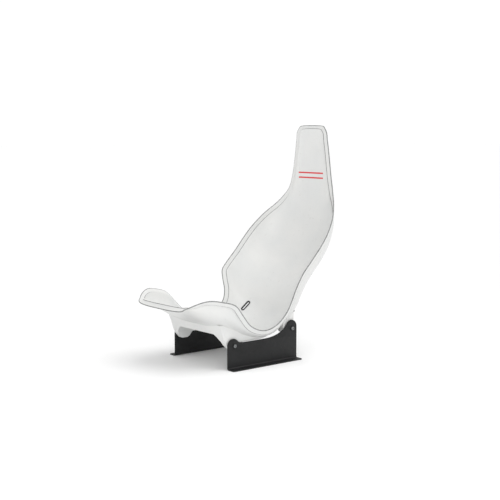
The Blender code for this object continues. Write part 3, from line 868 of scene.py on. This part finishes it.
def new_tree(name, *sizes, **others):
    """A Geometry Nodes tree with the piece coming in, its named sizes and its finish."""
    tree = bpy.data.node_groups.new(name, "GeometryNodeTree")
    kinds = {"Geometry": "NodeSocketGeometry", **dict.fromkeys(sizes, "NodeSocketFloat"), **others}
    for socket, kind in {**kinds, "Material": "NodeSocketMaterial"}.items():
        tree.interface.new_socket(socket, in_out="INPUT", socket_type=kind)
    tree.interface.new_socket("Geometry", in_out="OUTPUT", socket_type="NodeSocketGeometry")
    given = {socket.name: socket for socket in add(tree, "NodeGroupInput") if socket.name}
    return tree, given


def end_tree(tree, material, *parts):
    """Ends a tree with its parts together, realised and finished."""
    joined = tree.nodes.new("GeometryNodeJoinGeometry")
    for part in parts:
        tree.links.new(part, joined.inputs[0])
    real = add(tree, "GeometryNodeRealizeInstances", {"Geometry": joined.outputs[0]})[0]
    dressed = add(tree, "GeometryNodeSetMaterial", {"Geometry": real, "Material": material})[0]
    add(tree, "NodeGroupOutput", {0: dressed})


def run_tree(item, tree, **values):
    """Runs a tree on the piece and keeps the result as a plain mesh."""
    modifier = item.modifiers.new(tree.name, "NODES")
    modifier.node_group = tree
    for socket in tree.interface.items_tree:
        if socket.in_out == "INPUT" and socket.name in values:
            modifier[socket.identifier] = values[socket.name]
    return settle(item)


def thread_tree():
    """A thread: a ridge swept along a helix about X, added to the bolt that comes in."""
    tree, given = new_tree("rolled_thread", "Turns", "Length", "Radius", "Depth", "Start", "Y", "Z")
    inputs = {
        "Resolution": 20,
        "Rotations": given["Turns"],
        "Start Radius": given["Radius"],
        "End Radius": given["Radius"],
        "Height": given["Length"],
    }
    helix = add(tree, "GeometryNodeCurveSpiral", inputs)[0]
    inputs = {"Resolution": 4, "Radius": given["Depth"]}
    ridge = add(tree, "GeometryNodeCurvePrimitiveCircle", inputs, mode="RADIUS")[0]
    inputs = {"Curve": helix, "Profile Curve": ridge, "Fill Caps": True}
    swept = add(tree, "GeometryNodeCurveToMesh", inputs)[0]
    place = add(tree, "ShaderNodeCombineXYZ", {0: given["Start"], 1: given["Y"], 2: given["Z"]})[0]
    inputs = {"Geometry": swept, "Translation": place, "Rotation": (0, math.pi / 2, 0)}
    thread = add(tree, "GeometryNodeTransform", inputs)[0]
    end_tree(tree, given["Material"], thread, given["Geometry"])
    return tree


def knurl_tree():
    """A straight knurl: ridges round a cylinder about X, added to the insert that comes in."""
    sizes = ("Ridges", "Length", "Radius", "Height", "Middle", "Y", "Z")
    tree, given = new_tree("straight_knurl", *sizes)
    inputs = {"Vertices": given["Ridges"], "Radius": given["Radius"]}
    ring = add(tree, "GeometryNodeMeshCircle", inputs)[0]
    inputs = {0: given["Height"], 1: given["Height"], 2: given["Length"]}
    size = add(tree, "ShaderNodeCombineXYZ", inputs)[0]
    ridge = add(tree, "GeometryNodeMeshCube", {"Size": size})[0]
    turn = add(
        tree,
        "FunctionNodeAlignRotationToVector",
        {"Vector": add(tree, "GeometryNodeInputPosition")[0]},
        axis="X",
        pivot_axis="Z",
    )[0]
    inputs = {"Points": ring, "Instance": ridge, "Rotation": turn}
    ridges = add(tree, "GeometryNodeInstanceOnPoints", inputs)[0]
    inputs = {0: given["Middle"], 1: given["Y"], 2: given["Z"]}
    place = add(tree, "ShaderNodeCombineXYZ", inputs)[0]
    inputs = {"Geometry": ridges, "Translation": place, "Rotation": (0, math.pi / 2, 0)}
    knurl = add(tree, "GeometryNodeTransform", inputs)[0]
    end_tree(tree, given["Material"], knurl, given["Geometry"])
    return tree


def seat_bolt(where, side, y, z, thread, material):
    """A button-head socket screw with a rolled thread."""
    head = BOLT_HEAD_RADIUS
    seat = WASHER_HIGH[0] + FIT_GAP
    height = BOLT_TOP_X - seat
    dome = [
        (seat + 1 + (height - 1) * math.sin(a), 0.45 * head + 0.55 * head * math.cos(a))
        for a in np.radians(np.linspace(90, 0, 15))
    ]
    core = BOLT_RADIUS - THREAD_DEPTH
    profile = [
        (BOLT_TOP_X, 0),
        *dome,
        (seat + 0.3, head),
        (seat, head - 0.3),
        (seat, BOLT_RADIUS),
        (seat - BOLT_SHANK, BOLT_RADIUS),
        (seat - BOLT_SHANK - 0.5, core),
        (BOLT_TIP_X + 1, core),
        (BOLT_TIP_X, core - 1),
        (BOLT_TIP_X, 0),
    ]
    bolt = lathe(f"seat_bolt_{where}_screw", profile, (y, z), side)
    hexagon = circle((y, z), SOCKET_RADIUS, 6)
    socket = prism("socket", hexagon, sideways(side), seat + SOCKET_FLOOR, BOLT_TOP_X + 5)
    combine(bolt, "DIFFERENCE", socket)
    round_edges(bolt, 0.15, segments=2, turn=50)
    first = BOLT_TIP_X + 1.5
    length = seat - BOLT_SHANK - 1 - first
    start = first if side > 0 else -(first + length)
    return run_tree(
        bolt,
        thread,
        Turns=length / THREAD_PITCH,
        Length=length * MM,
        Radius=core * MM,
        Depth=THREAD_RIDGE * MM,
        Start=start * MM,
        Y=y * MM,
        Z=z * MM,
        Material=material,
    )


def threaded_insert(where, side, y, z, knurl, material):
    """A collared insert whose knurled body is bonded into the foot."""
    face, end = INSERT_HIGH[0], INSERT_LOW[0]
    under = face - COLLAR_THICKNESS
    collar = COLLAR_RADIUS
    bore = BOLT_RADIUS + FIT_GAP
    body = BOLT_RADIUS + INSERT_WALL
    profile = [
        (face, bore + 0.6),
        (face, collar - 0.4),
        (face - 0.4, collar),
        (under + 0.4, collar),
        (under, collar - 0.4),
        (under, body - 0.5),
        (end + 0.5, body - 0.5),
        (end, body - 1),
        (end, bore + 0.4),
        (end + 0.4, bore),
        (face - 0.6, bore),
    ]
    insert = lathe(f"threaded_insert_{where}_body", profile, (y, z), side)
    length = face - end - 6
    middle = side * (end + 2 + length / 2)
    return run_tree(
        insert,
        knurl,
        Ridges=KNURL_RIDGES,
        Length=length * MM,
        Radius=(body - 0.6) * MM,
        Height=KNURL_HEIGHT * MM,
        Middle=middle * MM,
        Y=y * MM,
        Z=z * MM,
        Material=material,
    )


# ---------------------------------------------------------------- belt slot edging
def edging_path(side):
    """The slot's outline laid on the inner skin, and the way out of the wall at each point."""
    middle, across, along, out = slot_frame(side)
    skin = GRID.reshape(-1, 3) * np.array([side, 1, 1])
    corners = [list(face) for face in grid_quads()]
    wall = BVHTree.FromPolygons((skin * MM).tolist(), corners)
    points = []
    ways = []
    for u, v in stadium(SLOT_LENGTH, SLOT_WIDTH, 20):
        start = Vector((middle + u * across + v * along - 30 * out) * MM)
        hit, normal, _, _ = wall.ray_cast(start, Vector(out))
        points.append(np.array(hit) / MM)
        ways.append(np.array(normal) * np.sign(np.array(normal) @ out))
    return np.array(points), unit(np.array(ways))


def wire(name, points, ways=None):
    """A closed loop of edges, with the way out of the wall kept at each point."""
    mesh = bpy.data.meshes.new(name)
    edges = [(i, (i + 1) % len(points)) for i in range(len(points))]
    mesh.from_pydata((np.asarray(points, float) * MM).tolist(), edges, [])
    if ways is not None:
        kept = mesh.attributes.new("wall_out", "FLOAT_VECTOR", "POINT")
        kept.data.foreach_set("vector", np.asarray(ways, float).ravel())
    return placed(name, mesh)


def lip_section():
    """The edging's section as (out of the wall, away from the slot): its sleeve and two rounded
    lips."""
    rounding = 0.9
    low = -FIT_GAP - SLOT_LIP_HEIGHT
    high = WALL + FIT_GAP + SLOT_LIP_HEIGHT
    corners = (
        (low + rounding, SLOT_LIP - rounding, 90),
        (low + rounding, rounding - SLOT_SLEEVE, 180),
        (high - rounding, rounding - SLOT_SLEEVE, 270),
        (high - rounding, SLOT_LIP - rounding, 0),
    )
    line = [(-FIT_GAP, -FIT_GAP), (-FIT_GAP, SLOT_LIP)]
    for u, v, start in corners:
        line += arc((u, v), rounding, start, start + 90, 5)
    line += [(WALL + FIT_GAP, SLOT_LIP), (WALL + FIT_GAP, -FIT_GAP)]
    return [(u, v, 0) for u, v in line]


def edging_tree():
    """The edging: a lipped section swept round the slot's outline, square to the wall."""
    tree, given = new_tree("slot_edging", Section="NodeSocketObject")
    path = add(tree, "GeometryNodeMeshToCurve", {"Mesh": given["Geometry"]})[0]
    way = add(
        tree, "GeometryNodeInputNamedAttribute", {"Name": "wall_out"}, data_type="FLOAT_VECTOR"
    )[0]
    path = add(tree, "GeometryNodeSetCurveNormal", {"Curve": path, "Normal": way}, mode="FREE")[0]
    lip = add(tree, "GeometryNodeObjectInfo", {"Object": given["Section"]})[-1]
    lip = add(tree, "GeometryNodeMeshToCurve", {"Mesh": lip})[0]
    swept = add(tree, "GeometryNodeCurveToMesh", {"Curve": path, "Profile Curve": lip})[0]
    end_tree(tree, given["Material"], swept)
    return tree


def belt_slot_edging(word, side, tree, material):
    """Moulded edging swept round the belt slot, gripping both faces of the wall."""
    edging = wire(f"belt_slot_edging_{word}_moulding", *edging_path(side))
    section_line = wire("lip_section", lip_section())
    run_tree(edging, tree, Section=section_line, Material=material)
    bpy.data.objects.remove(section_line)
    face_outwards(edging.data)
    shade(edging.data, 40)
    return edging


# ---------------------------------------------------------------- the object
SHELL_GELCOAT = white_gelcoat()
POWDER_COAT = black_powder_coat()
ZINC = turned_metal("dull_zinc_plate_on_steel", "#8F9192", "#7C7E80", 0.34, "#8B887C")
BLACK_OXIDE = turned_metal("black_oxide_on_steel", "#3B3C3E", "#2E2F31", 0.38, "#40392F")
PLAIN_STEEL = turned_metal("plain_turned_steel", "#A2A3A4", "#8C8D8F", 0.34, "#8F897D")
ALUMINIUM = turned_metal("turned_aluminium", "#D5D6D8", "#C4C6C9", 0.32, "#BFC0C0")
POLYAMIDE = moulded_black_plastic()

shell = seat_shell()
add_feet(shell)
cut_shell(shell)
stand_for(shell, "seat_shell", SHELL_GELCOAT)

thread = thread_tree()
knurl = knurl_tree()
sweep = edging_tree()
for word, side in SIDES:
    stand_for(side_bracket(word, side), f"side_bracket_{word}", POWDER_COAT)
    edging = belt_slot_edging(word, side, sweep, POLYAMIDE)
    stand_for(edging, f"belt_slot_edging_{word}", POLYAMIDE)
    for place, y, z in MOUNTS:
        where = f"{place}_{word}"
        bolt = seat_bolt(where, side, y, z, thread, ZINC)
        stand_for(bolt, f"seat_bolt_{where}", ZINC)
        insert = threaded_insert(where, side, y, z, knurl, PLAIN_STEEL)
        stand_for(insert, f"threaded_insert_{where}", PLAIN_STEEL)
        for kind, slot, (low, high), chamfer, finish in (
            ("bolt_washer", "washer", (WASHER_LOW, WASHER_HIGH), 0.4, BLACK_OXIDE),
            ("spacer_washer", "spacer", (SPACER_LOW, SPACER_HIGH), 0.5, ALUMINIUM),
        ):
            hole, radius = BOLT_RADIUS + FIT_GAP, (high[1] - low[1]) / 2
            profile = ring_profile(low[0], high[0], hole, radius, chamfer)
            ring = lathe(f"{kind}_{where}_ring", profile, (y, z), side)
            stand_for(ring, f"{kind}_{where}", finish)


# ---------------------------------------------------------------- floor, light and camera
VIEW_AZIMUTH = 50.13
VIEW_PITCH = 6.65
CAMERA_PLACE = (3.246, -2.665, 0.913)
LENS = 77.5
FLOOR_HALF = 40  # metres, so that the floor reaches the horizon
SKY_LIGHT = 0.68
SKY_SEEN = 1.05


def pale_floor():
    mesh = bpy.data.meshes.new("pale_floor")
    corners = [(x * FLOOR_HALF, y * FLOOR_HALF, 0) for x, y in ((-1, -1), (1, -1), (1, 1), (-1, 1))]
    mesh.from_pydata(corners, [], [(0, 1, 2, 3)])
    made, tree, shader, place = finish_named("matt_paper", Roughness=0.9)
    drift = patch(tree, place, 900, 0, 1)
    inputs = {"Factor": drift, "A": linear("#FDFDFD"), "B": linear("#FBFBFB")}
    colour = add(tree, "ShaderNodeMix", inputs, data_type="RGBA")[0]
    tree.links.new(colour, shader["Base Color"])
    mesh.materials.append(made)
    placed("pale_floor", mesh)


def soft_sun(azimuth, elevation, strength):
    """A broad even light from that azimuth round the seat and that height above the floor."""
    lamp = bpy.data.lights.new("overhead_light", "SUN")
    lamp.angle = math.radians(60)
    lamp.energy = strength
    item = placed(lamp.name, lamp)
    item.rotation_euler = (math.radians(90 - elevation), 0, math.radians(azimuth))


def soft_disc(azimuth, height, distance, size, power):
    """A round soft light at that azimuth round the seat, aimed at its middle."""
    lamp = bpy.data.lights.new("front_light", "AREA")
    lamp.shape = "DISK"
    lamp.size = size
    lamp.energy = power
    around = math.radians(azimuth)
    item = placed(lamp.name, lamp)
    item.location = (distance * math.sin(around), -distance * math.cos(around), height)
    to_seat = Vector((0, 0, 0.45)) - item.location
    item.rotation_euler = to_seat.to_track_quat("-Z", "Y").to_euler()


def studio():
    scene = bpy.context.scene
    scene.view_settings.view_transform = "Standard"
    world = bpy.data.worlds.new("white_studio")
    scene.world = world
    world.use_nodes = True
    tree = world.node_tree
    tree.nodes.clear()
    # The studio's walls look white, and give the seat a softer light than they show.
    seen = add(tree, "ShaderNodeLightPath")[0]
    inputs = {"Value": seen, "To Min": SKY_LIGHT, "To Max": SKY_SEEN}
    strength = add(tree, "ShaderNodeMapRange", inputs)[0]
    sky = add(tree, "ShaderNodeBackground", {"Color": linear("#FFFFFF"), "Strength": strength})[0]
    add(tree, "ShaderNodeOutputWorld", {"Surface": sky})
    soft_sun(VIEW_AZIMUTH + 75, elevation=64, strength=1.32)
    soft_disc(VIEW_AZIMUTH - 12, height=1.6, distance=4.6, size=3.4, power=48)

    lens = bpy.data.cameras.new("camera")
    lens.lens = LENS
    lens.sensor_width = 36
    camera = placed("camera", lens)
    camera.location = CAMERA_PLACE
    camera.rotation_euler = (math.radians(90 - VIEW_PITCH), 0, math.radians(VIEW_AZIMUTH))
    scene.camera = camera


pale_floor()
studio()
